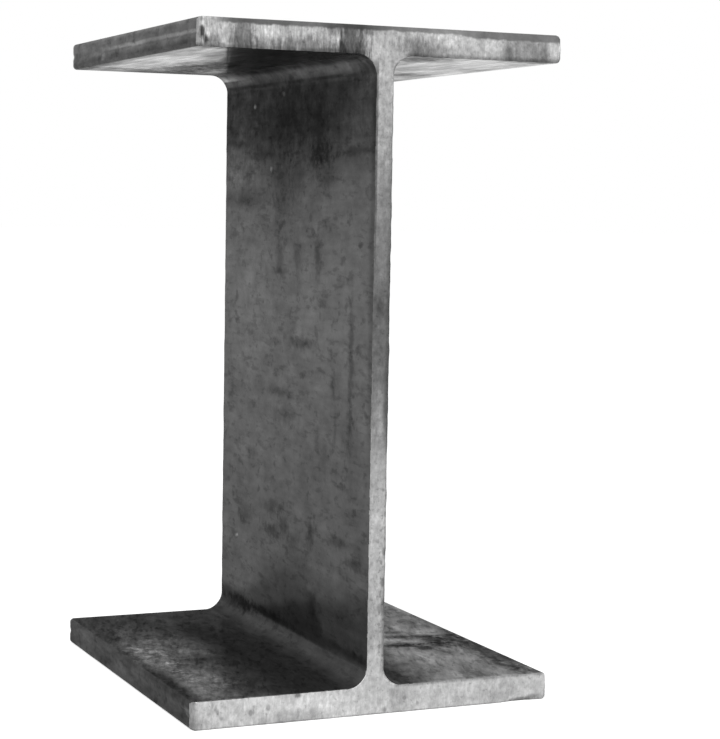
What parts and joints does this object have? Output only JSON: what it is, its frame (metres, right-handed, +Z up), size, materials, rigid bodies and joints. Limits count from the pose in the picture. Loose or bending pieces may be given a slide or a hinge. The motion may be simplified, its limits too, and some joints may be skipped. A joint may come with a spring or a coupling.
{
  "type": "steel h-beam section offcut",
  "caption": "Short sawn length of hot-rolled steel beam with parallel flanges, an upright web and rounded root fillets, standing on its lower flange.",
  "frame": {"origin": "middle of the lower flange's outer face, which the piece stands on", "axes": "+X across the flanges, +Y along the rolled length from the bevelled cut end to the plain one, +Z up through the web"},
  "size_m": [0.1454, 0.16, 0.256],
  "materials": {
    "rolled_steel": "dark mill scale on the rolled faces, pale sawn steel on the cut ends"
  },
  "bodies": {
    "root": {"h_beam": "rolled_steel"}
  },
  "joints": []
}
